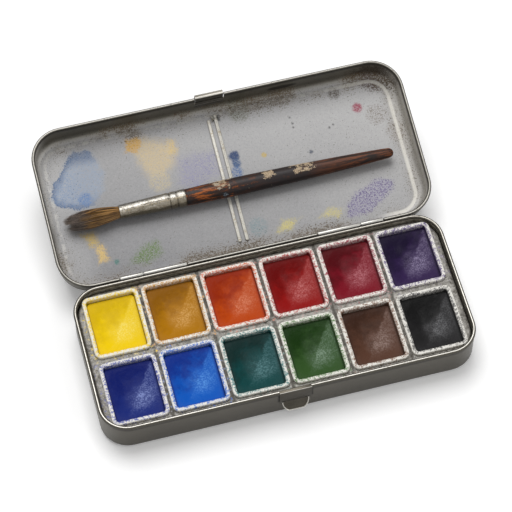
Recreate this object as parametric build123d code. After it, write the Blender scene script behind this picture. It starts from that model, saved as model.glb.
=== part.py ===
from build123d import *
from math import cos, pi, sin, sqrt
import os

# The set stands open on its base. The origin is the middle of the base's underside.
# X runs along the tin, Y from the front towards the hinge, Z up. Sizes are in millimetres.

# Base tin: a shallow drawn box with a rolled rim
SHEET = 0.4
BASE_LENGTH = 109.4
BASE_WIDTH = 46.5
BASE_HEIGHT = 11.8
BASE_CORNER = 8.2
BASE_FOOT = 1.5
RIM_RADIUS = 0.55
RIM_PROUD = 0.2

# Lid tin: slips over the base, with a slimmer rolled rim that lies on the hinge line
LID_GAP = 0.25
LID_DEPTH = 8.0
LID_FOOT = 2.9
LID_RIM_RADIUS = 0.5
OPEN_TILT = 14.0
HINGE_HEIGHT = 11.0
HINGE_Y = BASE_WIDTH / 2 + RIM_PROUD + LID_GAP + LID_RIM_RADIUS

# Mixing wells: two embossed ribs across the lid's floor, each with its X and its far end
RIBS = [(-1.95, 44.0), (0.25, 45.8)]
RIB_NEAR = 5.0
RIB_WIDTH = 1.1
RIB_HEIGHT = 0.5
RIB_ROUND = 0.3
RIB_GROOVE = 0.6

# Hinges: a short base knuckle outside, a long lid knuckle inside, one pin through both
KNUCKLE_RADIUS = 0.7
PIN_RADIUS = 0.3
BASE_BORE = 0.31
LID_BORE = 0.35
LID_KNUCKLE_NEAR = 19.5
LID_KNUCKLE_FAR = 32.35
BASE_KNUCKLE_NEAR = 32.45
BASE_KNUCKLE_FAR = 39.35
HINGE_CUT_MARGIN = 0.3
HINGE_CUT_DEPTH = 0.95
LEAF_HEIGHT = 4.5
BASE_LEAF = 0.45
BASE_LEAF_DROP = 0.2
LID_LEAF = 0.35
HEEL_REACH = 1.24
HEEL_DROP = 1.05
HEEL_HEIGHT = 0.95

# Clasp on the lid, a little left of the middle, and catch on the base
CLASP_X = -0.9
CLASP_WIDTH = 8.5
CLASP_SHEET = 0.35
CLASP_CUT_MARGIN = 0.2
CLASP_CUT_DEPTH = 2.25
CLASP_STEP = 1.85
CLASP_LEG_IN = 4.3
CLASP_LEG_OUT = 5.0
CATCH_WIDTH = 9.3
CATCH_PROUD = 0.35
CATCH_CAP = 0.15
CATCH_DROP = 5.0
LIP_WIDTH_TOP = 8.2
LIP_WIDTH_TIP = 4.6

# Tray that holds the pans
TRAY_LENGTH = 107.2
TRAY_WIDTH = 44.3
TRAY_TOP = 9.65
TRAY_CORNER = 7.1
TRAY_FLOOR_GAP = 0.15
WINDOW_LENGTH = 15.3
WINDOW_WIDTH = 18.9
WINDOW_CORNER = 1.6

# Half pans
PAN_PITCH_X = 17.4
PAN_PITCH_Y = 21.84
PAN_LENGTH = 16.0
PAN_WIDTH = 19.6
PAN_CORNER = 1.8
PAN_TOP = 10.6
PAN_FLANGE = 0.9
PAN_EDGE = 0.35
PAN_BOTTOM = 0.75
PAN_FLOOR = 0.8
PAN_BODY = 0.5
PAN_TAPER = 0.7
OPENING_LENGTH = 14.2
OPENING_WIDTH = 17.6
OPENING_CORNER = 1.2
CAVITY_TAPER = 0.9

# Paint cakes: name, column, row, depth of the worn dish, and where its lowest point lies
PAINT_EDGE = 9.1
PAINTS = [
    ("yellow", 0, 0, 0.70, (0.6, -0.8)),
    ("ochre", 1, 0, 0.80, (0.4, -0.4)),
    ("orange", 2, 0, 0.65, (0.2, -1.0)),
    ("red", 3, 0, 0.95, (0.5, -0.5)),
    ("crimson", 4, 0, 0.95, (0.3, -0.2)),
    ("violet", 5, 0, 0.90, (-0.4, -0.8)),
    ("ultramarine", 0, 1, 0.80, (0.2, 0.6)),
    ("blue", 1, 1, 0.85, (0.3, -0.6)),
    ("teal", 2, 1, 0.60, (-0.3, 0.4)),
    ("green", 3, 1, 0.75, (0.4, 0.2)),
    ("brown", 4, 1, 0.85, (0.0, -0.4)),
    ("black", 5, 1, 0.90, (-0.2, 0.3)),
]

# Brush: lies along the lid, hair to the left
BRUSH_V = 21.0
BRUSH_YAW = -0.2
BRUSH_LIFT = 0.05
TUFT_TIP = -50.3
FERRULE_START = -34.5
FERRULE_END = -14.6
HANDLE_END = 48.6
FERRULE_TIP_RADIUS = 2.05
FERRULE_BACK_RADIUS = 2.65
FERRULE_WALL = 0.25
CRIMP_DEPTH = 0.16
CRIMPS = (-19.4, -17.2)
TENON_LENGTH = 10.0
TENON_GAP = 0.02
HANDLE_NECK = 2.45
HANDLE_SWELL = 2.7
HANDLE_TAPER = [(0.0, HANDLE_SWELL), (12.0, 2.6), (23.0, 2.4), (36.0, 2.0)]
HANDLE_TIP = 1.5
STRANDS = 320
STRAND_RADIUS = 0.075
TUFT_ROOT = 1.62
TUFT_SWELL = 1.85
TUFT_SWELL_ALONG = 0.55
TUFT_BLUNT = 0.85
BACKING_RADIUS = 1.77
BACKING_LENGTH = 0.9

LID_LENGTH = BASE_LENGTH + 2 * (RIM_PROUD + LID_GAP + SHEET)
LID_WIDTH = BASE_WIDTH + 2 * (RIM_PROUD + LID_GAP + SHEET)
LID_CORNER = BASE_CORNER + RIM_PROUD + LID_GAP + SHEET
LID_FLOOR = SHEET - LID_DEPTH
LID_OUTER_V = HINGE_Y + LID_WIDTH / 2
LID_INNER_V = LID_OUTER_V - SHEET


def span_box(x_range, y_range, z_range):
    """A block given by its lowest and highest X, Y and Z."""
    size = [high - low for low, high in (x_range, y_range, z_range)]
    middle = [(high + low) / 2 for low, high in (x_range, y_range, z_range)]
    return Pos(*middle) * Box(*size)


def rod(radius, x_low, x_high):
    """A round bar along the X axis."""
    return Pos((x_low + x_high) / 2, 0, 0) * Rot(0, 90, 0) * Cylinder(radius, x_high - x_low)


def side_strip(points, width):
    """A closed outline in the YZ plane, drawn out along X to a width centred on X = 0."""
    outline = Plane.YZ * make_face(Polyline(*points, close=True))
    return Pos(-width / 2, 0, 0) * extrude(outline, width, dir=(1, 0, 0))


def drawn_box(length, width, height, corner, foot):
    """A solid block with rounded corners and a rounded foot, standing on Z = 0."""
    block = extrude(RectangleRounded(length, width, corner), height)
    return fillet(block.faces().sort_by(Axis.Z)[0].edges(), foot)


def rolled_rim(length, width, corner, radius):
    """A round bead that runs once round a tin at Z = 0."""
    path = RectangleRounded(length, width, corner).wire()
    start = Plane(origin=path @ 0, z_dir=path % 0)
    return sweep(start * Circle(radius), path)


def open_lid(shape):
    """Puts a piece drawn on the lid's own axes on the opened lid."""
    return Pos(0, HINGE_Y, HINGE_HEIGHT) * Rot(OPEN_TILT, 0, 0) * shape


def make_base_tin():
    shell = drawn_box(BASE_LENGTH, BASE_WIDTH, BASE_HEIGHT - RIM_RADIUS, BASE_CORNER, BASE_FOOT)
    hollow = drawn_box(
        BASE_LENGTH - 2 * SHEET,
        BASE_WIDTH - 2 * SHEET,
        BASE_HEIGHT,
        BASE_CORNER - SHEET,
        BASE_FOOT - SHEET,
    )
    shell -= Pos(0, 0, SHEET) * hollow
    rim_inset = RIM_RADIUS - RIM_PROUD
    rim = rolled_rim(
        BASE_LENGTH - 2 * rim_inset,
        BASE_WIDTH - 2 * rim_inset,
        BASE_CORNER - rim_inset,
        RIM_RADIUS,
    )
    return shell + Pos(0, 0, BASE_HEIGHT - RIM_RADIUS) * rim


def make_front_catch(base_tin):
    """A folded plate over the front rim, with a thumb lip that curls out below it."""
    wall = -BASE_WIDTH / 2
    face = wall - CATCH_PROUD
    top = BASE_HEIGHT + CATCH_CAP
    fold = BASE_HEIGHT - CATCH_DROP
    plate = side_strip(
        [
            (wall + 0.6, top),
            (face + 0.15, top),
            (face, top - 0.15),
            (face, fold + 0.1),
            (wall - 0.15, fold),
            (wall - 0.15, fold - 0.8),
            (wall, fold - 0.8),
            (wall, BASE_HEIGHT - RIM_RADIUS),
            (wall + 0.6, BASE_HEIGHT - RIM_RADIUS),
        ],
        CATCH_WIDTH,
    )
    lip_top = (wall - 0.45, fold - 0.5)
    lip_tip = (wall - 1.7, fold - 3.9)
    front = ThreePointArc(lip_top, (wall - 0.75, fold - 2.6), lip_tip)
    back = ThreePointArc((wall - 1.6, fold - 4.25), (wall - 0.45, fold - 2.9), (wall, fold - 0.8))
    tip = Line(front @ 1, back @ 0)
    root = Polyline(back @ 1, (wall, fold - 0.5), front @ 0)
    lip = extrude(Plane.YZ * make_face([front, tip, back, root]), LIP_WIDTH_TOP / 2, both=True)
    d_outline = Polyline(
        (-LIP_WIDTH_TOP / 2, fold - 0.4),
        (-LIP_WIDTH_TOP / 2 + 0.2, fold - 2.1),
        (-LIP_WIDTH_TIP / 2, fold - 4.3),
        (LIP_WIDTH_TIP / 2, fold - 4.3),
        (LIP_WIDTH_TOP / 2 - 0.2, fold - 2.1),
        (LIP_WIDTH_TOP / 2, fold - 0.4),
        close=True,
    )
    lower_corners = make_face(d_outline).vertices().filter_by_position(Axis.Y, fold - 4.4, fold - 2.0)
    d_face = fillet(lower_corners, 0.8)
    d_block = Pos(0, wall, 0) * extrude(Plane.XZ * d_face, 4)
    return plate + (lip & d_block) - base_tin


def make_lid_tin():
    middle = Pos(0, HINGE_Y, -LID_DEPTH)
    shell = middle * drawn_box(LID_LENGTH, LID_WIDTH, LID_DEPTH, LID_CORNER, LID_FOOT)
    hollow = drawn_box(
        LID_LENGTH - 2 * SHEET,
        LID_WIDTH - 2 * SHEET,
        LID_DEPTH,
        LID_CORNER - SHEET,
        LID_FOOT - SHEET,
    )
    shell -= Pos(0, 0, SHEET) * middle * hollow
    rim_shift = LID_RIM_RADIUS - SHEET
    rim = rolled_rim(
        LID_LENGTH + 2 * rim_shift,
        LID_WIDTH + 2 * rim_shift,
        LID_CORNER + rim_shift,
        LID_RIM_RADIUS,
    )
    lid = shell + Pos(0, HINGE_Y, 0) * rim
    for x, far_end in RIBS:
        v = (RIB_NEAR + far_end) / 2
        rib_face = Rot(0, 0, 90) * SlotOverall(far_end - RIB_NEAR, RIB_WIDTH)
        rib = extrude(rib_face, SHEET / 2 + RIB_HEIGHT)
        rib = fillet(rib.faces().sort_by(Axis.Z)[-1].edges(), RIB_ROUND)
        groove = extrude(Rot(0, 0, 90) * SlotOverall(far_end - RIB_NEAR, RIB_GROOVE), RIB_GROOVE / 2)
        lid += Pos(x, v, LID_FLOOR - SHEET / 2) * rib
        lid -= Pos(x, v, -LID_DEPTH) * groove
    for side in (-1, 1):
        near = side * (LID_KNUCKLE_NEAR - HINGE_CUT_MARGIN)
        far = side * (BASE_KNUCKLE_FAR + HINGE_CUT_MARGIN)
        x_range = (min(near, far), max(near, far))
        lid -= span_box(x_range, (-1, 1), (-HINGE_CUT_DEPTH, 1))
    cut_width = CLASP_WIDTH / 2 + CLASP_CUT_MARGIN
    lid -= span_box(
        (CLASP_X - cut_width, CLASP_X + cut_width),
        (LID_INNER_V - 0.5, LID_OUTER_V + 2),
        (-CLASP_CUT_DEPTH, 1),
    )
    return lid


def make_lid_clasp():
    """A folded strip over the lid's front rim: a leg inside, a cap, and a leg outside."""
    inner_leg = LID_INNER_V - CLASP_SHEET
    step = LID_INNER_V + 0.2
    cap_low = LID_RIM_RADIUS
    cap_high = LID_RIM_RADIUS + CLASP_SHEET
    outer = LID_OUTER_V + 2 * LID_RIM_RADIUS + 0.2
    step_back = CLASP_STEP + CLASP_SHEET
    return Pos(CLASP_X, 0, 0) * side_strip(
        [
            (inner_leg, -CLASP_LEG_IN),
            (inner_leg, -CLASP_STEP),
            (step, -CLASP_STEP),
            (step, cap_high - 0.15),
            (step + 0.15, cap_high),
            (outer - 0.2, cap_high),
            (outer, cap_high - 0.2),
            (outer, -1.75),
            (LID_OUTER_V + CLASP_SHEET, -step_back - 0.55),
            (LID_OUTER_V + CLASP_SHEET, -CLASP_LEG_OUT),
            (LID_OUTER_V, -CLASP_LEG_OUT),
            (LID_OUTER_V, -step_back - 0.45),
            (outer - CLASP_SHEET, -1.6),
            (outer - CLASP_SHEET, cap_low),
            (step + CLASP_SHEET, cap_low),
            (step + CLASP_SHEET, -step_back),
            (LID_INNER_V, -step_back),
            (LID_INNER_V, -CLASP_LEG_IN),
        ],
        CLASP_WIDTH,
    )


def sided(side, near, far):
    """The X range of a hinge piece on the left (-1) or right (1)."""
    return (near, far) if side > 0 else (-far, -near)


def make_base_hinge(side):
    """A leaf on the base's back wall, its rolled knuckle, and the heel that stops the lid."""
    x_range = sided(side, BASE_KNUCKLE_NEAR, BASE_KNUCKLE_FAR)
    wall = BASE_WIDTH / 2
    knuckle = rod(KNUCKLE_RADIUS, *x_range) - rod(BASE_BORE, *x_range)
    hinge = Pos(0, HINGE_Y, HINGE_HEIGHT) * knuckle
    leaf_top = HINGE_HEIGHT - BASE_LEAF_DROP
    hinge += span_box(x_range, (wall, wall + BASE_LEAF), (leaf_top - LEAF_HEIGHT, leaf_top))
    heel_top = HINGE_HEIGHT - HEEL_DROP
    hinge += span_box(x_range, (wall, wall + HEEL_REACH), (heel_top - HEEL_HEIGHT, heel_top))
    return hinge


def make_lid_hinge(side):
    """A leaf on the lid's back wall and its rolled knuckle, drawn on the lid's own axes."""
    x_range = sided(side, LID_KNUCKLE_NEAR, LID_KNUCKLE_FAR)
    wall = HINGE_Y - LID_WIDTH / 2
    leaf_top = -(LID_BORE + 0.1)
    leaf = span_box(x_range, (wall - LID_LEAF, wall), (leaf_top - LEAF_HEIGHT, leaf_top))
    return rod(KNUCKLE_RADIUS, *x_range) - rod(LID_BORE, *x_range) + leaf


def make_hinge_pin(side):
    x_range = sided(side, LID_KNUCKLE_NEAR + 0.1, BASE_KNUCKLE_FAR - 0.1)
    return Pos(0, HINGE_Y, HINGE_HEIGHT) * rod(PIN_RADIUS, *x_range)


def pan_place(column, row):
    return Pos((column - 2.5) * PAN_PITCH_X, (0.5 - row) * PAN_PITCH_Y, 0)


def make_pan_tray():
    """A pressed plate with a window for each pan and a flange down to the floor on each side."""
    x_edge = TRAY_LENGTH / 2
    y_edge = TRAY_WIDTH / 2
    outline = RectangleRounded(TRAY_LENGTH, TRAY_WIDTH, TRAY_CORNER)
    for _, column, row, _, _ in PAINTS:
        outline -= pan_place(column, row) * RectangleRounded(WINDOW_LENGTH, WINDOW_WIDTH, WINDOW_CORNER)
    tray = Pos(0, 0, TRAY_TOP - SHEET) * extrude(outline, SHEET)
    z_range = (SHEET + TRAY_FLOOR_GAP, TRAY_TOP)
    x_run = x_edge - TRAY_CORNER
    y_run = y_edge - TRAY_CORNER
    for side in (-1, 1):
        x_range = sorted((side * x_edge, side * (x_edge - SHEET)))
        y_range = sorted((side * y_edge, side * (y_edge - SHEET)))
        tray += span_box(x_range, (-y_run, y_run), z_range)
        tray += span_box((-x_run, x_run), y_range, z_range)
    return tray


def make_cavity():
    """The space inside a pan, wider at the mouth."""
    mouth = Pos(0, 0, PAN_TOP) * RectangleRounded(OPENING_LENGTH, OPENING_WIDTH, OPENING_CORNER)
    floor = Pos(0, 0, PAN_BOTTOM + PAN_FLOOR) * RectangleRounded(
        OPENING_LENGTH - 2 * CAVITY_TAPER,
        OPENING_WIDTH - 2 * CAVITY_TAPER,
        OPENING_CORNER - 0.3,
    )
    return loft([floor, mouth])


def make_pan():
    flange = extrude(RectangleRounded(PAN_LENGTH, PAN_WIDTH, PAN_CORNER), PAN_FLANGE)
    flange = fillet(flange.faces().sort_by(Axis.Z)[-1].edges(), PAN_EDGE)
    under_flange = PAN_TOP - PAN_FLANGE
    body_top = Pos(0, 0, under_flange) * RectangleRounded(
        PAN_LENGTH - 2 * PAN_BODY,
        PAN_WIDTH - 2 * PAN_BODY,
        PAN_CORNER - PAN_BODY,
    )
    body_foot = Pos(0, 0, PAN_BOTTOM) * RectangleRounded(
        PAN_LENGTH - 2 * (PAN_BODY + PAN_TAPER),
        PAN_WIDTH - 2 * (PAN_BODY + PAN_TAPER),
        PAN_CORNER - PAN_BODY,
    )
    return Pos(0, 0, under_flange) * flange + loft([body_foot, body_top]) - make_cavity()


def make_paint(dish, lowest):
    """A cake that fills the pan to below its rim, with a round dish worn into the top."""
    half_diagonal = sqrt(OPENING_LENGTH**2 + OPENING_WIDTH**2) / 2
    ball = (half_diagonal**2 + dish**2) / (2 * dish)
    cake = make_cavity() & span_box((-20, 20), (-20, 20), (0, PAINT_EDGE + dish / 3))
    return cake - Pos(lowest[0], lowest[1], PAINT_EDGE - 2 * dish / 3 + ball) * Sphere(ball)


def ferrule_radius(x):
    along = (x - FERRULE_START) / (FERRULE_END - FERRULE_START)
    return FERRULE_TIP_RADIUS + along * (FERRULE_BACK_RADIUS - FERRULE_TIP_RADIUS)


def place_brush(shape):
    """Lays a piece drawn along the X axis on the ribs of the opened lid."""
    height = LID_FLOOR + RIB_HEIGHT + HANDLE_SWELL + BRUSH_LIFT
    return open_lid(Pos(0, BRUSH_V, height) * Rot(0, 0, BRUSH_YAW) * shape)


def make_brush_handle():
    """Turned wood: a tenon in the ferrule, a swell, and a long taper to a rounded end."""
    tenon_start = FERRULE_END - TENON_LENGTH
    tenon_front = ferrule_radius(tenon_start) - FERRULE_WALL - TENON_GAP
    tenon_back = ferrule_radius(FERRULE_END) - FERRULE_WALL - TENON_GAP
    tenon = Polyline(
        (tenon_start, 0),
        (tenon_start, tenon_front),
        (FERRULE_END, tenon_back),
        (FERRULE_END, HANDLE_NECK),
    )
    side = Spline(
        (FERRULE_END, HANDLE_NECK),
        *HANDLE_TAPER,
        (HANDLE_END - HANDLE_TIP, HANDLE_TIP),
        tangents=[(1, 0.03), (1, -0.06)],
    )
    tip_middle = HANDLE_END - HANDLE_TIP
    nose = ThreePointArc(
        side @ 1,
        (tip_middle + HANDLE_TIP * cos(pi / 4), HANDLE_TIP * sin(pi / 4)),
        (HANDLE_END, 0),
    )
    outline = make_face([tenon, side, nose, Line((HANDLE_END, 0), (tenon_start, 0))])
    return revolve(outline, Axis.X)


def make_brush_ferrule():
    """A tapered metal tube with two crimped rings where it grips the handle."""
    front = ferrule_radius(FERRULE_START)
    back = ferrule_radius(FERRULE_END)
    outline = make_face(
        Polyline(
            (FERRULE_START, front - FERRULE_WALL),
            (FERRULE_START, front),
            (FERRULE_END, back),
            (FERRULE_END, back - FERRULE_WALL),
            close=True,
        )
    )
    tube = revolve(outline, Axis.X)
    for x in CRIMPS:
        ring_radius = ferrule_radius(x) + 0.5 - CRIMP_DEPTH
        ring = Pos(x, 0, 0) * Rot(0, 90, 0) * Torus(ring_radius, 0.5)
        tube -= ring
    return tube


def tuft_spread(x):
    """How far the hair stands out at x, as a share of its radius at the root."""
    along = (FERRULE_START - x) / (FERRULE_START - TUFT_TIP)
    if along < TUFT_SWELL_ALONG:
        return 1 + (TUFT_SWELL - 1) * sin(pi / 2 * max(along, 0) / TUFT_SWELL_ALONG)
    beyond = (along - TUFT_SWELL_ALONG) / (1 - TUFT_SWELL_ALONG)
    return TUFT_BLUNT + (TUFT_SWELL - TUFT_BLUNT) * cos(pi / 2 * beyond)


def make_strand(root_radius, angle, tip_x):
    """One hair: a thin three-sided spike through four stations."""
    root_x = FERRULE_START + 0.3
    rings = []
    for share, thickness in ((0, 1.0), (0.32, 1.25), (0.68, 1.0), (1, 0.35)):
        x = root_x + share * (tip_x - root_x)
        radius = root_radius * tuft_spread(x)
        y = radius * cos(angle)
        z = radius * sin(angle)
        size = STRAND_RADIUS * thickness
        turns = [angle + 2 * pi * k / 3 for k in range(3)]
        rings.append([(x, y + size * cos(t), z + size * sin(t)) for t in turns])
    faces = [Face(Wire.make_polygon(rings[0])), Face(Wire.make_polygon(rings[-1]))]
    for ring, after in zip(rings, rings[1:]):
        for k in range(3):
            m = (k + 1) % 3
            faces.append(Face(Wire.make_polygon([ring[k], ring[m], after[m], after[k]])))
    return Solid(Shell(faces))


def make_brush_tuft():
    """Hair that swells out of the ferrule and frays to a blunt end, on a slice of its glue."""
    golden = pi * (3 - sqrt(5))
    backing = rod(BACKING_RADIUS, FERRULE_START + 0.1, FERRULE_START + 0.1 + BACKING_LENGTH)
    strands = []
    for number in range(STRANDS):
        share = sqrt((number + 0.5) / STRANDS)
        uneven = 0.5 + 0.5 * sin(number * 2.4)
        tip_x = TUFT_TIP + 2.6 * share**2 * uneven + 1.4 * share
        if number == 0:
            tip_x = TUFT_TIP
        strands.append(make_strand(TUFT_ROOT * share, number * golden, tip_x))
    return backing.fuse(*strands)


os.makedirs("parts", exist_ok=True)
base_tin = make_base_tin()
export_step(base_tin, "parts/base_tin.step")
export_step(make_front_catch(base_tin), "parts/front_catch.step")
export_step(open_lid(make_lid_tin()), "parts/lid_tin.step")
export_step(open_lid(make_lid_clasp()), "parts/lid_clasp.step")
for side, word in ((-1, "left"), (1, "right")):
    export_step(make_base_hinge(side), f"parts/base_hinge_{word}.step")
    export_step(open_lid(make_lid_hinge(side)), f"parts/lid_hinge_{word}.step")
    export_step(make_hinge_pin(side), f"parts/hinge_pin_{word}.step")
export_step(make_pan_tray(), "parts/pan_tray.step")
for name, column, row, dish, lowest in PAINTS:
    place = pan_place(column, row)
    export_step(place * make_pan(), f"parts/pan_{name}.step")
    export_step(place * make_paint(dish, lowest), f"parts/paint_{name}.step")
export_step(place_brush(make_brush_handle()), "parts/brush_handle.step")
export_step(place_brush(make_brush_ferrule()), "parts/brush_ferrule.step")
export_step(place_brush(make_brush_tuft()), "parts/brush_tuft.step")
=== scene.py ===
from math import cos, hypot, pi, radians, sin
from random import Random

import bmesh
import bpy
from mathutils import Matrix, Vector


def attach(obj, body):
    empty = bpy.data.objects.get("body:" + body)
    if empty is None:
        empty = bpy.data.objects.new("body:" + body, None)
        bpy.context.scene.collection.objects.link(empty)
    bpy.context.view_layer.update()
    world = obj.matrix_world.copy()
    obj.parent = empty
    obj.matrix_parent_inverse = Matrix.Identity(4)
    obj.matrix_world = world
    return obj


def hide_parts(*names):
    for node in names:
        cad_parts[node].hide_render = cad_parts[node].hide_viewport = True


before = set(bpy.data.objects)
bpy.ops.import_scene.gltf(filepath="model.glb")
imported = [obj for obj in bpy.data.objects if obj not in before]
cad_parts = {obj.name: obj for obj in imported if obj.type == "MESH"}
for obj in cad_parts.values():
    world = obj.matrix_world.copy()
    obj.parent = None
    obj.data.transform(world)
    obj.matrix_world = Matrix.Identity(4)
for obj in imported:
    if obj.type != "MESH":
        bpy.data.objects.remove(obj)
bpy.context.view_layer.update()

# The table and the light. The tin stands open on a plain white table top. One wide soft light
# hangs behind and above it, a fainter one fills in from the front left, and the rest of the
# room is plain white.
bpy.ops.object.select_all(action="DESELECT")
bpy.ops.mesh.primitive_plane_add(size=8)
table_top = bpy.context.object
table_top.name = "table_top"


class Amount:
    """A number that changes over a surface. Sums and products of amounts add Math nodes."""

    def __init__(self, finish, socket):
        self.finish = finish
        self.socket = socket

    def maths(self, operation, *values):
        return self.finish.node("Math", {"operation": operation}, dict(enumerate(values)))

    def __add__(self, other):
        return self.maths("ADD", self, other)

    def __sub__(self, other):
        return self.maths("SUBTRACT", self, other)

    def __rsub__(self, other):
        return self.maths("SUBTRACT", other, self)

    def __mul__(self, other):
        return self.maths("MULTIPLY", self, other)

    def __truediv__(self, other):
        return self.maths("DIVIDE", self, other)

    def __pow__(self, other):
        return self.maths("POWER", self, other)

    __radd__ = __add__
    __rmul__ = __mul__

    def size(self):
        return self.maths("ABSOLUTE", self)

    def or_more(self, other):
        return self.maths("MAXIMUM", self, other)

    def or_less(self, other):
        return self.maths("MINIMUM", self, other)

    def past(self, limit):
        """How far the amount is past a limit, or 0 short of it."""
        return (self - limit).or_more(0.0)

    def within(self, low, high):
        return self.maths("WRAP", self, high, low)

    def rise(self, low, high):
        """0 below low, 1 above high, and a smooth step between; the other way if high is less."""
        ends = {0: self, 1: min(low, high), 2: max(low, high), 3: 0.0, 4: 1.0}
        if high < low:
            ends[3], ends[4] = 1.0, 0.0
        return self.finish.node("MapRange", {"interpolation_type": "SMOOTHSTEP"}, ends)

    def near(self, value, far, close):
        """1 within close of a value, and 0 further from it than far."""
        return (self - value).size().rise(far, close)

    def grain(self, scale, detail=3.0, roughness=0.55, stretch=(1, 1, 1)):
        """Cloudy noise from 0 to 1 at a place, about one cloud every 1 / scale millimetres."""
        place = self
        if stretch != (1, 1, 1):
            place = self.finish.node("VectorMath", {"operation": "MULTIPLY"}, {0: self, 1: stretch})
        sockets = {"Vector": place, "Scale": scale, "Detail": detail, "Roughness": roughness}
        return self.finish.node("TexNoise", {}, sockets)


def diagonal(across, along):
    """The length of the slanting line between two amounts at right angles."""
    return (across * across + along * along) ** 0.5


def mix(first, second, share):
    """Two colours in one: share of the second."""
    finish = next(part.finish for part in (share, first, second) if isinstance(part, Amount))
    return finish.node("Mix", {"data_type": "RGBA"}, {0: share, 6: first, 7: second}, output=2)


def layered(colour, *layers):
    """A colour with others laid over it in turn, each with its share."""
    for over, share in layers:
        colour = mix(colour, over, share)
    return colour


class Finish:
    """A finish under construction: its shader and the nodes that feed it."""

    def __init__(self, name, constants):
        self.material = bpy.data.materials.new(name)
        self.material.use_nodes = True
        self.tree = self.material.node_tree
        self.shader = self.tree.nodes["Principled BSDF"]
        self.feed(constants)

    def feed(self, sockets):
        """Sets or links sockets of the shader."""
        self.plug(self.shader, sockets)

    def plug(self, node, sockets):
        for key, value in sockets.items():
            if isinstance(value, Amount):
                self.tree.links.new(value.socket, node.inputs[key])
            else:
                node.inputs[key].default_value = value

    def node(self, kind, settings, sockets, output=0):
        """Adds a node, sets it up, plugs values or links into it, and gives one of its outputs."""
        node = self.tree.nodes.new("ShaderNode" + kind)
        for key, value in settings.items():
            if key == "stops":
                ramp = node.color_ramp
                while len(ramp.elements) < len(value):
                    ramp.elements.new(0.5)
                for stop, (place, colour) in zip(ramp.elements, value):
                    stop.position = place
                    stop.color = colour
            elif key == "blending":
                node.color_ramp.interpolation = value
            else:
                setattr(node, key, value)
        self.plug(node, sockets)
        return Amount(self, node.outputs[output])

    def relief(self, height, depth):
        """Turns a height from 0 to 1 into a bump that many millimetres deep."""
        return self.node("Bump", {}, {"Height": height, "Distance": depth * MM, "Strength": 1.0})


MM = 0.001


def tint(red, green, blue):
    """A colour as it reads on a paint card, from 0 to 255."""
    shares = [c / 255 for c in (red, green, blue)]
    return tuple(c / 12.92 if c < 0.04 else ((c + 0.055) / 1.055) ** 2.4 for c in shares) + (1.0,)


BLACK, WHITE, PALE = (0, 0, 0, 1), (1, 1, 1, 1), (0.8, 0.8, 0.8, 1)
table_paint = Finish("table_paint", {
    "Roughness": 0.9,
    "Specular IOR Level": 0.0,
    "Emission Strength": 0.15,
})
eye, mirrored, passed = (
    table_paint.node("LightPath", {}, {}, output=f"Is {kind} Ray")
    for kind in ("Camera", "Glossy", "Transmission")
)
table_paint.feed({
    "Base Color": mix(PALE, WHITE, eye),
    "Emission Color": mix(BLACK, WHITE, eye.or_more(mirrored).or_more(passed)),
})
table_top.data.materials.append(table_paint.material)

room = bpy.data.worlds.new("room")
room.use_nodes = True
bpy.context.scene.world = room
wiring = room.node_tree.links
lit_sky = room.node_tree.nodes["Background"]
seen_sky = room.node_tree.nodes.new("ShaderNodeBackground")
for sky, strength in ((lit_sky, 0.37), (seen_sky, 1.0)):
    sky.inputs["Color"].default_value = WHITE
    sky.inputs["Strength"].default_value = strength
rays = room.node_tree.nodes.new("ShaderNodeLightPath")
chooser = room.node_tree.nodes.new("ShaderNodeMixShader")
reached = rays.outputs["Is Camera Ray"]
for kind in ("Is Glossy Ray", "Is Transmission Ray"):
    either = room.node_tree.nodes.new("ShaderNodeMath")
    either.operation = "MAXIMUM"
    wiring.new(reached, either.inputs[0])
    wiring.new(rays.outputs[kind], either.inputs[1])
    reached = either.outputs[0]
for number, source in enumerate((reached, lit_sky.outputs[0], seen_sky.outputs[0])):
    wiring.new(source, chooser.inputs[number])
wiring.new(chooser.outputs[0], room.node_tree.nodes["World Output"].inputs[0])


def soft_light(name, place, width, power):
    """A square soft light that faces the tin."""
    lamp = bpy.data.lights.new(name, "AREA")
    lamp.size = width
    lamp.energy = power
    holder = bpy.data.objects.new(name, lamp)
    bpy.context.scene.collection.objects.link(holder)
    holder.location = place
    holder.rotation_euler = Vector(place).to_track_quat("Z", "Y").to_euler()


soft_light("window_light", (-0.05, 0.60, 1.45), 1.0, 16.0)
soft_light("fill_light", (0.9, -0.7, 1.0), 0.9, 2.5)

lens = bpy.data.cameras.new("camera")
lens.lens = 168.75
lens.sensor_width = 36
camera = bpy.data.objects.new("camera", lens)
camera.location = (-0.08866, -0.31591, 0.60935)
camera.rotation_euler = (radians(90 - 59.73), 0, radians(-14.773))
bpy.context.scene.collection.objects.link(camera)
bpy.context.scene.camera = camera
bpy.context.scene.view_settings.view_transform = "Standard"


# Base tin. One shallow box drawn from thin tinplate, with a round foot and corners and an edge
# rolled outwards over a wire. The outside has gone dull and dark, the inside is stained.
SHEET = 0.4
RIM_HEIGHT = 11.25
ARC_X, ARC_Y = 46.5, 15.05  # the middle of each round corner, seen from the tin's middle


def block(name, low, high):
    """A block between two corners, in millimetres, open in edit mode."""
    bpy.ops.object.select_all(action="DESELECT")
    middle = [(a + b) / 2 * MM for a, b in zip(low, high)]
    size = [(b - a) * MM for a, b in zip(low, high)]
    bpy.ops.mesh.primitive_cube_add(size=1, location=middle, scale=size)
    piece = bpy.context.object
    piece.name = name
    settle(piece)
    bpy.ops.object.mode_set(mode="EDIT")
    return piece


def let_go():
    """Ends the shaping of the piece in hand."""
    bpy.ops.object.mode_set(mode="OBJECT")


def take(piece, *others):
    """Selects a piece, and others with it, and makes it the one in hand."""
    bpy.ops.object.select_all(action="DESELECT")
    for each in (*others, piece):
        each.select_set(True)
    bpy.context.view_layer.objects.active = piece


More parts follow.
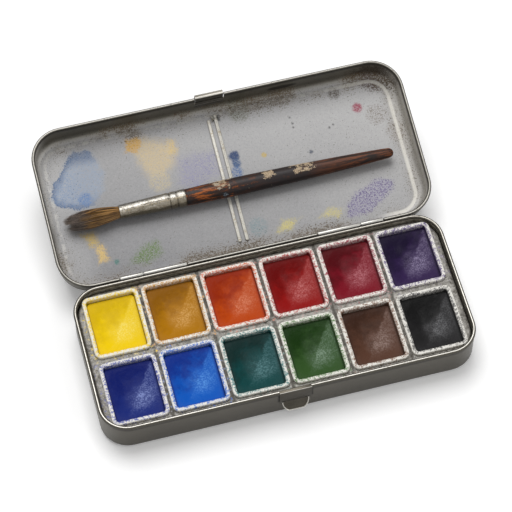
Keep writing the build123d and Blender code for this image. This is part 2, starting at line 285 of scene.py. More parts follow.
def settle(piece):
    """Puts a piece's place, turn and size into its mesh."""
    take(piece)
    bpy.ops.object.transform_apply(location=True, rotation=True, scale=True)


def pick(kind, wanted):
    """Selects the points, edges or faces in hand whose middle, in millimetres, is wanted."""
    bpy.context.tool_settings.mesh_select_mode = [kind == k for k in ("verts", "edges", "faces")]
    bpy.ops.mesh.select_all(action="DESELECT")
    shape = bmesh.from_edit_mesh(bpy.context.edit_object.data)
    for part in getattr(shape, kind):
        corners = [part] if kind == "verts" else part.verts
        middle = sum((v.co for v in corners), Vector()) / len(corners) / MM
        part.select_set(wanted(middle, part))
    shape.select_flush_mode()
    bmesh.update_edit_mesh(bpy.context.edit_object.data)


def upright(middle, edge):
    """Whether an edge stands straight up."""
    run = edge.verts[1].co - edge.verts[0].co
    return abs(run.z) > 0.99 * run.length


def round_off(radius, steps, affect="EDGES"):
    """Rounds the picked edges or points."""
    bpy.ops.mesh.bevel(offset=radius * MM, segments=steps, affect=affect, clamp_overlap=False)


def shove(x=0.0, y=0.0, z=0.0):
    """Moves what is picked, in millimetres."""
    bpy.ops.transform.translate(value=(x * MM, y * MM, z * MM))


def draw_out(x=0.0, y=0.0, z=0.0):
    """Extrudes what is picked, in millimetres."""
    move = {"value": (x * MM, y * MM, z * MM)}
    bpy.ops.mesh.extrude_region_move(TRANSFORM_OT_translate=move)


def wall_up(piece, thickness, outwards=True):
    """Gives a skin its sheet thickness."""
    let_go()
    wall = piece.modifiers.new("wall", "SOLIDIFY")
    wall.thickness = thickness * MM
    wall.offset = 1.0 if outwards else -1.0
    wall.use_even_offset = True
    use(piece, wall)


def use(piece, modifier):
    """Applies a modifier for good."""
    take(piece)
    bpy.ops.object.modifier_apply(modifier=modifier.name)


def drawn_skin(name, low, high, corner, foot):
    """The inner skin of an open box with round corners and a round foot."""
    piece = block(name, low, high)
    pick("edges", upright)
    round_off(corner, 12)
    pick("edges", lambda middle, edge: middle.z < low[2] + 0.01)
    round_off(foot, 6)
    pick("faces", lambda middle, face: middle.z > high[2] - 0.01)
    bpy.ops.mesh.delete(type="FACE")
    return piece


def wired_edge(name, length, width, middle_y, height, corner, radius):
    """The rolled edge of a tin: a round bead run once round its outline."""
    bpy.ops.object.select_all(action="DESELECT")
    bpy.ops.mesh.primitive_plane_add(size=1, location=(0, middle_y * MM, height * MM))
    bead = bpy.context.object
    bead.name = name
    bead.scale = (length * MM, width * MM, 1)
    settle(bead)
    bpy.ops.object.mode_set(mode="EDIT")
    bpy.ops.mesh.select_all(action="SELECT")
    round_off(corner, 12, affect="VERTICES")
    bpy.ops.mesh.select_all(action="SELECT")
    bpy.ops.mesh.delete(type="ONLY_FACE")
    let_go()
    return round_wire(bead, radius, 4)


def round_wire(piece, radius, detail):
    """Turns the edges of a piece into round wire."""
    take(piece)
    bpy.ops.object.convert(target="CURVE")
    piece.data.bevel_depth = radius * MM
    piece.data.bevel_resolution = detail
    piece.data.use_fill_caps = True
    bpy.ops.object.convert(target="MESH")
    return bpy.context.object


def join(piece, *others):
    """Makes one mesh of several."""
    take(piece, *others)
    bpy.ops.object.join()


def smooth(piece, angle=32):
    """Shades a piece smooth, except over edges sharper than the angle."""
    take(piece)
    bpy.ops.object.shade_smooth_by_angle(angle=radians(angle))


base_tin = drawn_skin("base_tin_sheet", (-54.3, -22.85, SHEET), (54.3, 22.85, RIM_HEIGHT), 7.8, 1.1)
wall_up(base_tin, SHEET)
base_edge = wired_edge("base_edge", 108.7, 45.8, 0, RIM_HEIGHT, 7.85, 0.55)
join(base_tin, base_edge)
smooth(base_tin)


def on_base(finish):
    """Where a point lies on the base: the vector, then X, Y and Z."""
    return in_millimetres(finish, finish.node("TexCoord", {}, {}, output="Object"))


def in_millimetres(finish, place):
    """A place in millimetres: the vector, then each of its axes."""
    place = finish.node("VectorMath", {"operation": "SCALE"}, {0: place, "Scale": 1 / MM})
    return (place, *[finish.node("SeparateXYZ", {}, {0: place}, output=axis) for axis in "XYZ"])


base_finish = Finish("base_tin_finish", {})
place, x, y, z = on_base(base_finish)
cloud = place.grain(0.08, 4.0)
fine = place.grain(1.6, 5.0, 0.7)
scuff = place.grain(0.35, 4.0, 0.7, (1, 1, 9))
mottled = place.grain(1.1, 4.0, 0.75, (0.5, 1, 1))
tone = (cloud - 0.5) * 0.6 + (fine - 0.5) * 0.35 + (scuff - 0.5) * 0.4 + 0.5
reach = diagonal(x.size().past(ARC_X), y.size().past(ARC_Y))
skin = diagonal(reach.past(6.7), (1.5 - z).past(0.0))
outside = skin.rise(1.22, 1.38)
upper_inside = z.rise(6.0, 8.0) * (1 - outside) * z.rise(11.1, 10.8)
bead = z.rise(10.9, 11.1)
at_back = y.rise(0, 20)
# Painted shade on the outer wall just under the rolled edge.
shade_under_bead = outside * z.rise(9.7, 10.4) * z.rise(11.4, 11.15)
# Painted shadow on the front wall along both sides of the catch plate.
shadow_beside_catch = x.size().near(4.9, 0.45, 0.1) * z.rise(6.0, 7.0) * z.rise(10.8, 10.2)
rust = fine.rise(0.70, 0.78) * cloud.rise(0.45, 0.6)
bright_tin = mix(tint(116, 110, 102), tint(190, 186, 180), tone)
dull_tin = mix(tint(80, 77, 70), tint(112, 108, 100), tone)
stained = mix(tint(112, 104, 86), tint(228, 222, 206), (mottled - 0.5) * 3.0 + 0.5)
# The crest of the rolled edge is worn and carries a painted highlight, dimmer along the back.
worn_and_highlit_crest = mix(tint(178, 175, 168), tint(160, 156, 148), at_back)
base_finish.feed({
    "Base Color": layered(
        bright_tin,
        (dull_tin, outside),
        (tint(52, 49, 44), shade_under_bead * 0.8),
        (stained, upper_inside),
        (tint(82, 79, 72), bead),
        (worn_and_highlit_crest, bead * reach.near(7.82, 0.20, 0.06) * fine.rise(0.25, 0.5)),
        # Painted shade on the inner side of the rolled edge.
        (tint(70, 66, 58), bead * reach.rise(7.5, 7.35) * 0.7),
        # Painted shade on the outer side of the rolled edge along the back.
        (tint(52, 49, 44), bead * reach.rise(8.05, 8.2) * at_back * 0.8),
        (tint(34, 31, 27), shadow_beside_catch * y.rise(-23.0, -23.1) * 0.8),
        # Darker towards the foot.
        (tint(50, 47, 41), z.rise(2.0, 0.2) * 0.8),
        (tint(92, 74, 58), rust),
    ),
    "Metallic": 0.9 - upper_inside * 0.6,
    "Roughness": 0.30 + cloud * 0.16 + rust * 0.3 + (fine - 0.5) * 0.12,
    "Normal": base_finish.relief(fine * 0.35 + cloud, 0.03),
})
base_tin.data.materials.append(base_finish.material)
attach(base_tin, "base")
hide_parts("base_tin")


# Front catch. A plate folded over the base's front edge and soldered to the wall, with a thumb
# lip below it that curls outwards. Its edge is turned over and polished by wear; its pale colour
# is partly a painted highlight.
CATCH_SHEET = 0.3


def open_strip(name, x_low, x_high, path):
    """A skin along X that follows a path of Y and Z, open in edit mode."""
    (y_first, z_first), (y_next, z_next) = path[:2]
    piece = block(name, (x_low, y_first, z_first), (x_high, y_first + 1, z_first + 1))
    pick("faces", lambda middle, face: middle.y < y_first + 0.1)
    bpy.ops.mesh.select_all(action="INVERT")
    bpy.ops.mesh.delete(type="FACE")
    pick("verts", lambda middle, point: middle.z > z_first + 0.5)
    shove(y=y_next - y_first, z=z_next - z_first - 1)
    for here, there in zip(path[1:], path[2:]):
        pick("edges", lambda middle, edge: open_at(middle, edge, here))
        draw_out(y=there[0] - here[0], z=there[1] - here[1])
    return piece


def open_at(middle, edge, here):
    """Whether an edge is open and lies at a Y and Z."""
    return edge.is_boundary and hypot(middle.y - here[0], middle.z - here[1]) < 0.01


def folded_strip(name, width, path, thickness, fold=0.12):
    """A strip of sheet along X, folded along a path of Y and Z."""
    piece = open_strip(name, -width / 2, width / 2, path)
    pick("edges", lambda middle, edge: len(edge.link_faces) == 2)
    round_off(fold, 3)
    close_up()
    if thickness:
        wall_up(piece, thickness, outwards=False)
        soften(piece, 0.06)
    return piece


def soften(piece, radius, steps=2):
    """Rounds every sharp edge of a piece a little."""
    edge = piece.modifiers.new("edge", "BEVEL")
    edge.width = radius * MM
    edge.segments = steps
    edge.limit_method = "ANGLE"
    edge.angle_limit = radians(40)
    use(piece, edge)


def close_up():
    """Turns every face of the piece in hand outwards and ends its shaping."""
    bpy.ops.mesh.select_all(action="SELECT")
    bpy.ops.mesh.normals_make_consistent(inside=False)
    let_go()


def weld(reach=0.0005):
    """Merges points of the piece in hand that lie within reach and closes it up."""
    bpy.ops.object.mode_set(mode="EDIT")
    bpy.ops.mesh.select_all(action="SELECT")
    bpy.ops.mesh.remove_doubles(threshold=reach * MM)
    close_up()


catch_path = [(-23.4, 6.1), (-23.4, 6.75), (-23.6, 6.95), (-23.6, 11.95), (-22.7, 11.95)]
front_catch = folded_strip("front_catch_plate", 9.3, catch_path, CATCH_SHEET)
LIP_WIDTH = 7.6
lip_path = [(-23.4, 6.1), (-23.65, 5.3), (-24.0, 4.3), (-24.4, 3.5), (-24.76, 3.0)]
lip_widths = {5.3: 7.5, 4.3: 7.0, 3.5: 6.0, 3.0: 4.3}
thumb_lip = folded_strip("thumb_lip", LIP_WIDTH, lip_path, 0, 0.02)
bpy.ops.object.mode_set(mode="EDIT")
for height, width in lip_widths.items():
    pick("verts", lambda middle, point: abs(middle.z - height) < 0.1)
    narrower = (width / LIP_WIDTH, 1, 1)
    bpy.ops.transform.resize(value=narrower, center_override=(0, 0, height * MM))
pick("edges", lambda middle, edge: edge.is_boundary and middle.z < 6.0)
bpy.ops.mesh.duplicate()
bpy.ops.mesh.separate(type="SELECTED")
let_go()
turned_edge = (set(bpy.context.selected_objects) - {thumb_lip}).pop()
wall_up(thumb_lip, 0.25, outwards=False)
turned_edge = round_wire(turned_edge, 0.19, 2)
weld()


def simple_tin(name, dark, light):
    """Plain old tinplate in two tones, with fine scratches and a little rust."""
    tin = Finish(name, {"Metallic": 0.95})
    place, x, y, z = on_base(tin)
    cloud, fine = place.grain(0.25, 4.0), place.grain(2.4, 5.0, 0.7)
    colour = mix(dark, light, (cloud - 0.5) * 0.8 + fine)
    rust = fine.rise(0.62, 0.75) * cloud.rise(0.4, 0.6)
    tin.feed({
        "Base Color": mix(colour, tint(86, 68, 52), rust * 0.8),
        "Roughness": 0.24 + fine * 0.2 + rust * 0.2,
        "Normal": tin.relief(fine + cloud, 0.02),
    })
    return tin.material


catch_finish = simple_tin("catch_finish", tint(56, 52, 45), tint(92, 88, 80))
# Pale tin for the turned edge and the top of the fold: worn metal that also stands in for a painted
# highlight.
worn_and_highlit_edge = simple_tin("worn_and_highlit_edge", tint(150, 146, 138), tint(224, 221, 214))
front_catch.data.materials.append(catch_finish)
thumb_lip.data.materials.append(catch_finish)
turned_edge.data.materials.append(worn_and_highlit_edge)
join(front_catch, thumb_lip, turned_edge)
# The front of the fold's top takes the pale finish, its painted highlight.
for face in front_catch.data.polygons:
    if face.center.z > 11.7 * MM and face.center.y < -23.3 * MM:
        face.material_index = 1
smooth(front_catch, 40)
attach(front_catch, "base")
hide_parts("front_catch")


# Lid tin. Drawn from the same plate as the base and a little larger, so that it slips over it.
# Its floor is pressed up in two narrow ribs that part the mixing wells, and it is notched for
# the hinges and the clasp. Washes have dried in the wells and dirt has gathered round them.
HINGE = (0, 24.2, 11.0)
OPEN = 14
LID_FLOOR, LID_MIDDLE, LID_CORNER = -7.6, 24.2, 8.65


def open_lid(piece):
    """Turns a piece made on the lid's own axes, hinge at the origin, to where the lid hangs open."""
    piece.location = [c * MM for c in HINGE]
    piece.rotation_euler = (radians(OPEN), 0, 0)
    settle(piece)


def carve(piece, cutter):
    """Cuts the shape of another piece out of a piece, and throws that one away."""
    cut = piece.modifiers.new("cut", "BOOLEAN")
    cut.operation = "DIFFERENCE"
    cut.solver = "EXACT"
    cut.object = cutter
    use(piece, cut)
    bpy.data.objects.remove(cutter)


def slit(height, x=None, y=None):
    """Splits the flat faces at a height along a line of X or Y."""
    pick("faces", lambda middle, face: abs(middle.z - height) < 0.01 and abs(face.normal.z) > 0.9)
    if x is not None:
        bpy.ops.mesh.bisect(plane_co=(x * MM, 0, 0), plane_no=(1, 0, 0))
    else:
        bpy.ops.mesh.bisect(plane_co=(0, y * MM, 0), plane_no=(0, 1, 0))


RIBS = ((-1.95, 44.0), (0.25, 45.2))
RIB_START, RIB_HEIGHT, RIB_HALF = 5.0, 0.5, 0.55
lid_tin = drawn_skin("lid_tin_sheet", (-55.15, 0.5, LID_FLOOR), (55.15, 47.9, 0), LID_CORNER, 2.5)
wall_up(lid_tin, SHEET)
bpy.ops.object.mode_set(mode="EDIT")
slit(LID_FLOOR, y=RIB_START)
for middle_x, end_y in RIBS:
    slit(LID_FLOOR, y=end_y)
    slit(LID_FLOOR, x=middle_x - RIB_HALF)
    slit(LID_FLOOR, x=middle_x + RIB_HALF)
for middle_x, end_y in RIBS:
    pick("faces", lambda middle, face: (
        abs(middle.z - LID_FLOOR) < 0.01 and face.normal.z > 0.9
        and RIB_START < middle.y < end_y and abs(middle.x - middle_x) < 0.3
    ))
    draw_out(z=RIB_HEIGHT)
pick("edges", lambda middle, edge: upright(middle, edge) and LID_FLOOR < middle.z < LID_FLOOR + RIB_HEIGHT)
round_off(0.5, 4)
pick("edges", lambda middle, edge: abs(middle.z - LID_FLOOR - RIB_HEIGHT) < 0.01 and abs(middle.x) < 3)
round_off(0.3, 3)
let_go()
lid_edge = wired_edge("lid_edge", 111.3, 48.4, LID_MIDDLE, 0, LID_CORNER + 0.5, 0.5)
NOTCHES = (
    ((-5.35, 47.4, -2.25), (3.55, 50.3, 1)),
    ((-39.65, -1, -0.95), (-19.2, 1, 1)),
    ((19.2, -1, -0.95), (39.65, 1, 1)),
)
for piece in (lid_tin, lid_edge):
    for low, high in NOTCHES:
        notch = block("notch", low, high)
        let_go()
        carve(piece, notch)
join(lid_tin, lid_edge)
open_lid(lid_tin)
smooth(lid_tin)


def on_axes(finish, place, origin, turn):
    """A place as seen from other axes: their origin in millimetres, their turn in degrees."""
    sockets = {
        "Vector": place,
        "Location": [c * MM for c in origin],
        "Rotation": [radians(angle) for angle in turn],
    }
    return finish.node("Mapping", {"vector_type": "TEXTURE"}, sockets)


def lid_place(finish):
    """A place as seen from the lid's own axes, before it is put in millimetres."""
    place = finish.node("TexCoord", {}, {}, output="Object")
    return on_axes(finish, place, HINGE, (OPEN, 0, 0))


def on_lid(finish):
    """Where a point lies on the lid: the vector, U along the hinge, V away from it, W up."""
    return in_millimetres(finish, lid_place(finish))


def blot(u, v, ragged, middle, reach):
    """How many millimetres inside a small round spot of wash each point lies."""
    return reach - diagonal(u - middle[0], v - middle[1]) + ragged


def patch(place, ragged, corners):
    """How many millimetres inside a torn patch each point lies. The corners run anticlockwise."""
    depths = []
    for (u, v), (u_next, v_next) in zip(corners, corners[1:] + corners[:1]):
        run = hypot(u_next - u, v_next - v)
        inwards = ((v - v_next) / run, (u_next - u) / run, 0)
        sockets = {0: place, 1: inwards}
        along = place.finish.node("VectorMath", {"operation": "DOT_PRODUCT"}, sockets, output="Value")
        depths.append(along - (u * inwards[0] + v * inwards[1]))
    shallowest = depths[0]
    for depth in depths[1:]:
        shallowest = shallowest.or_less(depth)
    return shallowest + ragged


lid_finish = Finish("lid_tin_finish", {})
place, u, v, w = on_lid(lid_finish)
cloud = place.grain(0.07, 4.0)
fine = place.grain(1.8, 5.0, 0.7)
speckle = place.grain(2.6, 2.0, 0.7)
torn = place.grain(0.42, 5.0, 0.65)
dotted = speckle - 0.5
ragged = (torn - 0.5) * 3.2 + dotted * 1.6
tone = (cloud - 0.5) * 0.5 + (fine - 0.5) * 0.4 + 0.5
inset = diagonal(u.size().past(ARC_X), (v - LID_MIDDLE).size().past(ARC_Y)) - LID_CORNER
skin = diagonal(inset.past(-2.5), (w * -1.0).past(5.1))
inside = skin.rise(2.78, 2.62)
floor_area = w.rise(-5.0, -7.0) * inset.rise(0.0, -2.4) * inside
# The floor's colour grows lighter to the right and away from the hinge, lighter still at the left end, and
# darker at the far side right of the middle.
light = 0.31 + u * 0.0045 + v * 0.0077 + (cloud - 0.5) * 0.35 + (fine - 0.5) * 0.6
light = light + u.rise(-40, -50) * 0.28 - v.rise(36, 44) * u.rise(-10, 10) * 0.16
# The inner walls are one tinplate: painted darker as shade on the long walls and lighter as lit on the end
# walls.
shaded_far_wall = mix(tint(92, 89, 79), tint(142, 138, 128), tone)
lit_end_wall = mix(tint(176, 173, 167), tint(218, 215, 209), tone)
floor_colour = mix(tint(104, 104, 107), tint(173, 172, 171), light)
colour = layered(shaded_far_wall, (lit_end_wall, u.size().rise(50.0, 54.5)), (floor_colour, floor_area))

# Each wash: its corners, tint and strength, how soft its edge is and how grainy it has dried.
WASHES = {
    "blue": ([(-43.4, 43.6), (-51.6, 33.6), (-52.8, 30.9), (-51.7, 28.2), (-45.6, 25.6), (-41.0, 25.5),
              (-37.0, 29.8), (-35.7, 35.2), (-38.3, 43.0)], (130, 146, 168), 0.46, 1.6, 0.7),
    "sand": ([(-23.4, 43.5), (-26.0, 38.5), (-24.0, 31.5), (-19.5, 29.8), (-14.4, 33.0), (-13.0, 39.5)],
             (184, 164, 124), 0.56, 2.4, 0.6),
    "orange": ([(-27.6, 43.6), (-27.9, 40.0), (-24.8, 39.0), (-22.8, 41.5), (-23.4, 43.8)],
               (178, 142, 76), 0.85, 1.1, 1.0),
    "amber": ([(-15.2, 41.0), (-15.6, 36.0), (-13.4, 35.3), (-12.8, 40.6)],
              (186, 160, 100), 0.48, 1.2, 0.8),
    "lilac": ([(-13.6, 34.5), (-14.9, 26.2), (-11.0, 22.7), (-1.9, 27.5), (-2.2, 34.4)],
              (128, 126, 148), 0.55, 3.0, 1.8),
    "lemon": ([(9.2, 5.3), (13.8, 5.0), (16.6, 8.0), (11.8, 8.8)], (184, 172, 104), 0.60, 1.2, 1.0),
    "straw": ([(22.4, 6.9), (28.0, 5.6), (30.2, 7.8), (26.4, 9.8)], (184, 172, 108), 0.50, 1.2, 1.0),
    "violet": ([(30.8, 5.2), (37.1, 5.0), (46.3, 10.6), (46.6, 12.9), (43.8, 15.0), (34.8, 12.1),
                (31.7, 8.8)], (132, 126, 152), 0.55, 0.9, 1.2),
    "sepia": ([(43.2, 47.2), (47.5, 42.8), (54.0, 42.0), (52.2, 46.8), (47.7, 48.4)],
              (70, 50, 40), 0.5, 2.0, 2.4),
    "green": ([(-34.2, 6.2), (-29.6, 5.0), (-25.0, 7.3), (-26.0, 11.2), (-31.4, 9.4)],
              (92, 110, 72), 0.72, 1.8, 2.4),
    "ochre": ([(-46.6, 17.8), (-44.4, 13.4), (-42.2, 13.6), (-43.0, 17.8)],
              (178, 154, 90), 0.75, 1.4, 1.0),
    "ochre_tail": ([(-43.9, 13.2), (-43.4, 8.4), (-40.4, 8.8), (-41.2, 13.6)],
                   (188, 160, 96), 0.70, 1.2, 1.0),
}
depths = {}
for name, (corners, wash, strength, soft, grainy) in WASHES.items():
    depths[name] = patch(place, ragged, corners)
    cover = depths[name].rise(-soft, soft) * (strength + dotted * grainy * 2.0)
    colour = mix(colour, tint(*wash), cover.rise(0.0, 1.0) * floor_area)
blue = depths["blue"]
blue_side = (u + v * 0.35).rise(-27, -37)
blue_top = blue.rise(0, 0.5) * v.rise(37.5, 41.5) * 0.7
blue_tide = blue.rise(-0.2, 0.2) * blue.rise(2.4, 0.2) * blue_side + blue_top
blue_body = blue.rise(0, 0.5) * blue_side * (0.35 + dotted * 1.6)
violet_dots = depths["violet"].rise(-0.7, 0.5) * speckle.rise(0.50, 0.58)
soiled = depths["sepia"].rise(-2.4, 1.2) * (0.7 + dotted * 4.0)
colour = layered(
    colour,
    (tint(62, 84, 116), blue_tide.or_less(1.0) * (0.8 + dotted * 2.0)),
    (tint(100, 122, 152), blue_body.rise(0.0, 1.0)),
    (tint(84, 74, 112), violet_dots * 0.8),
    (tint(56, 38, 28), soiled.rise(0.0, 1.0) * inside * 0.9),
)

# Each spot: its middle, reach, tint and strength.
SPOTS = [
    ((2.9, 31.4), 1.5, (34, 54, 90), 1.0), ((3.0, 29.0), 1.3, (46, 72, 108), 0.85),
    ((2.4, 26.2), 1.7, (62, 92, 134), 0.6), ((-43.0, 28.0), 2.0, (84, 112, 152), 0.6),
    ((-20.5, 28.6), 3.2, (176, 162, 130), 0.4), ((11.5, 29.6), 0.7, (168, 146, 84), 0.8),
    ((42.3, 37.7), 1.4, (134, 58, 76), 0.8), ((36.8, 43.8), 1.8, (74, 68, 62), 0.6),
    ((4.4, 8.4), 2.8, (98, 124, 130), 0.35), ((-38.4, 7.5), 0.7, (64, 104, 98), 0.8),
    ((7.6, 44.8), 3.4, (96, 98, 84), 0.55), ((22.3, 37.3), 0.35, (70, 68, 70), 0.9),
    ((22.2, 36.0), 0.3, (80, 78, 80), 0.9), ((34.0, 34.2), 0.3, (76, 74, 76), 0.9),
    ((32.7, 33.6), 0.25, (84, 82, 84), 0.9), ((25.3, 27.4), 0.6, (78, 82, 92), 0.9),
    ((21.9, 39.3), 0.25, (90, 88, 90), 0.9), ((52.0, 28.0), 3.0, (120, 108, 96), 0.3),
    ((47.5, 34.5), 3.0, (104, 92, 80), 0.3),
]
for middle, reach, wash, strength in SPOTS:
    edge = 0.25 + reach * 0.2
    cover = blot(u, v, ragged * (0.25 + 0.15 * reach), middle, reach).rise(-edge, edge)
    colour = mix(colour, tint(*wash), cover * (strength + dotted * 2.4).rise(0.0, 1.0))

border = inset.rise(-8.0, -2.0) * (0.2 + cloud.rise(0.42, 0.62))
border = border * (1 - u.rise(40, 52) * v.rise(44, 38) * 0.5)
grime = (speckle * 0.6 + fine * 0.4 + border * 0.14).rise(0.61, 0.67) * inside * w.rise(-3.5, -6.5)
haze = inset.rise(-6.0, -1.0) * cloud.rise(0.4, 0.6) * floor_area
dust = (speckle + inset.rise(-12, -2) * 0.06).rise(0.67, 0.71) * inside
# A painted highlight along the curve of the floor's foot: stronger at the right end, broken up, and left
# off near the hinge except at the right end.
at_right = u.rise(30, 48)
foot_highlight = inset.rise(-3.5, -2.9) * inset.rise(-1.9, -2.4)
foot_highlight = foot_highlight * (torn * 0.6 + fine * 0.5 + at_right * 0.14).rise(0.48, 0.60)
foot_highlight = foot_highlight * (0.30 + at_right * 0.42) * v.rise(5, 9).or_more(u.rise(38, 46))
rib_top = w.rise(LID_FLOOR + 0.2, LID_FLOOR + 0.45) * v.near(25.3, 20.7, 20.0) * u.near(-0.85, 1.75, 1.6)
# Painted shadow on the near wall behind each hinge knuckle.
shadow_behind_hinge = u.size().near(29.4, 10.5, 10.2) * v.rise(1.7, 1.2) * w.rise(-3.2, -2.2)
smear = blot(u * 0.28, w, ragged * 0.25, (5.9, -3.6), 1.25).rise(-0.3, 0.3) * v.rise(46.5, 47.3)
bead = w.rise(-0.3, -0.1)
lid_finish.feed({
    "Base Color": layered(
        colour,
        (tint(104, 90, 72), grime * 0.75),
        (tint(132, 122, 106), haze * 0.35),
        (tint(70, 65, 60), dust * 0.65),
        (tint(208, 205, 197), foot_highlight),
        # Painted highlight along the rib tops.
        (tint(196, 193, 184), rib_top * (fine + 0.2).rise(0.4, 0.7)),
        (tint(150, 134, 104), rib_top * (speckle * 0.5 + torn * 0.5).rise(0.52, 0.60) * 0.7),
        (tint(34, 31, 27), shadow_behind_hinge * 0.85),
        (tint(36, 34, 31), smear * inside * 0.85),
        (mix(tint(92, 89, 81), tint(128, 124, 116), tone), (1 - inside) * (1 - floor_area)),
        # Painted shade in a band just below the rolled edge.
        (tint(66, 62, 56), w.rise(-1.3, -0.8) * w.rise(-0.1, -0.35) * 0.7),
        (mix(tint(66, 63, 57), tint(100, 97, 90), fine), bead),
        # Painted highlight along the crest of the rolled edge.
        (tint(150, 147, 141), bead * inset.near(0.5, 0.22, 0.08) * fine.rise(0.25, 0.5)),
        # Painted shade on the inner side of the rolled edge.
        (tint(46, 43, 38), bead * inset.rise(0.2, 0.06) * 0.8),
    ),
    "Metallic": 0.9 - floor_area * 0.55,
    "Roughness": 0.34 + cloud * 0.12 + grime * 0.3 + floor_area * 0.12 + (fine - 0.5) * 0.1,
    "Normal": lid_finish.relief(fine * 0.4 + cloud * 2.0, 0.03),
})
lid_tin.data.materials.append(lid_finish.material)
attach(lid_tin, "lid")
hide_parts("lid_tin")


# Lid clasp. A strip of tinplate folded over the lid's far edge, with one leg inside the wall
# and one outside. Closed, it snaps over the catch.
clasp_path = [
    (47.55, -4.3), (47.55, -2.05), (48.1, -1.85), (48.1, 0.79), (49.5, 0.79), (49.5, -1.75),
    (48.65, -2.75), (48.65, -5.0),
]
lid_clasp = folded_strip("lid_clasp_strip", 8.5, clasp_path, 0.33)
lid_clasp.location = (-0.9 * MM, 0, 0)
settle(lid_clasp)
open_lid(lid_clasp)
smooth(lid_clasp, 40)
clasp_finish = Finish("clasp_finish", {"Metallic": 0.9})
place, u, v, w = on_lid(clasp_finish)
fine = place.grain(2.0, 5.0, 0.7, (0.5, 1, 1))
# Painted light and shade: a highlight along the top of the fold, shade in the bends, and a highlight
# across the inner leg below its step.
ridge_highlight = w.rise(0.4, 0.6) * v.near(48.62, 0.34, 0.16) * fine.rise(0.2, 0.45)
shaded_folds = w.near(-1.95, 0.35, 0.15) + w.rise(0.3, 0.45) * v.rise(48.25, 48.15)
inner_leg_highlight = w.near(-2.45, 0.3, 0.12) * v.rise(47.95, 47.85)
clasp_finish.feed({
    "Base Color": layered(
        mix(tint(56, 53, 47), tint(104, 100, 93), fine),
        (tint(160, 157, 150), ridge_highlight),
        (tint(38, 36, 32), shaded_folds.or_less(1.0) * 0.8),
        (tint(150, 147, 140), inner_leg_highlight * 0.8),
    ),
    "Roughness": 0.26 + fine * 0.2,
    "Normal": clasp_finish.relief(fine, 0.02),
})
lid_clasp.data.materials.append(clasp_finish.material)
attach(lid_clasp, "lid")
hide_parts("lid_clasp")


# Hinges. Two pairs of leaves of steel strip, soldered to the back of the base and of the lid.
# Each leaf is rolled round the pin into a knuckle: a short one on the base, a long one on the lid.
def rolled_leaf(name, x_low, x_high, leaf, centre, radius, start, turn, thickness):
    """A leaf that rises along a path of Y and Z and is then rolled round a centre."""
    knuckle = (centre[0] + radius * cos(radians(start)), centre[1] + radius * sin(radians(start)))
    piece = open_strip(name, x_low, x_high, [*leaf, knuckle])
    pick("edges", lambda middle, edge: open_at(middle, edge, knuckle))
    pin = (0, centre[0] * MM, centre[1] * MM)
    bpy.ops.mesh.spin(steps=22, angle=radians(turn), center=pin, axis=(1, 0, 0))
    weld(0.001)
    face_away(piece, Vector(pin))
    wall_up(piece, thickness, outwards=False)
    soften(piece, 0.06)
    return piece


def face_away(piece, pin):
    """Makes sure that the outside of a rolled knuckle faces away from its pin."""
    outwards = 0
    for face in piece.data.polygons:
        away = Vector((0, face.center.y - pin.y, face.center.z - pin.z))
        if away.length < 0.75 * MM:
            outwards += face.normal.dot(away)
    if outwards < 0:
        piece.data.flip_normals()


steel_finish = Finish("hinge_steel_finish", {"Metallic": 0.95})
place, x, y, z = on_base(steel_finish)
fine = place.grain(1.6, 5.0, 0.7, (0.4, 1, 1))
# Painted light and shade: a highlight along the knuckle tops, shade on their lower halves, and lighter
# leaves below.
knuckle_light_and_shade = z.rise(10.5, 11.05) * 0.62 + z.rise(11.3, 11.6) * 0.3 + z.rise(10.0, 9.4) * 0.35
knuckle_light_and_shade = knuckle_light_and_shade + (fine - 0.5) * 0.8
steel_finish.feed({
    "Base Color": mix(tint(54, 51, 46), tint(172, 170, 165), knuckle_light_and_shade),
    "Roughness": 0.24 + fine * 0.2,
    "Normal": steel_finish.relief(fine, 0.02),
})
steel = steel_finish.material
BASE_LEAF = [(23.67, 6.35), (23.67, 10.3), (23.52, 10.75)]
LID_LEAF = [(-0.25, -4.95), (-0.25, -0.9)]
KNUCKLE = 0.7
STRIP = 0.33
for side, word in ((-1, "left"), (1, "right")):
    low, high = sorted((side * 32.6, side * 39.2))
    base_leaf = rolled_leaf("base_leaf_" + word, low, high, BASE_LEAF, HINGE[1:], KNUCKLE, 180, 300, STRIP)
    heel = block("heel_" + word, (low, 23.26, 9.0), (high, 24.49, 9.95))
    let_go()
    soften(heel, 0.15, 3)
    join(base_leaf, heel)
    smooth(base_leaf, 40)
    base_leaf.data.materials.append(steel)
    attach(base_leaf, "base")
    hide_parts("base_hinge_" + word)

    low, high = sorted((side * 19.65, side * 32.2))
    lid_leaf = rolled_leaf("lid_leaf_" + word, low, high, LID_LEAF, (0, 0), KNUCKLE, 248, 300, STRIP)
    open_lid(lid_leaf)
    smooth(lid_leaf, 40)
    lid_leaf.data.materials.append(steel)
    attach(lid_leaf, "lid")
    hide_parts("lid_hinge_" + word)

    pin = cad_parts["hinge_pin_" + word]
    pin.data.materials.clear()
    pin.data.materials.append(steel)


# Pan tray. A plate pressed from thinner tin, its edges folded down to stand on the base's floor,
# with a window for each pan. Years of wet brushes have left traces of every colour on it.
PITCH_X = 17.4
PITCH_Y = 21.84


def rounded_block(name, length, width, low, high, corner, steps=5):
    """A block with round upright corners, centred on the origin, open in edit mode."""
    piece = block(name, (-length / 2, -width / 2, low), (length / 2, width / 2, high))
    pick("edges", upright)
    round_off(corner, steps)
    return piece


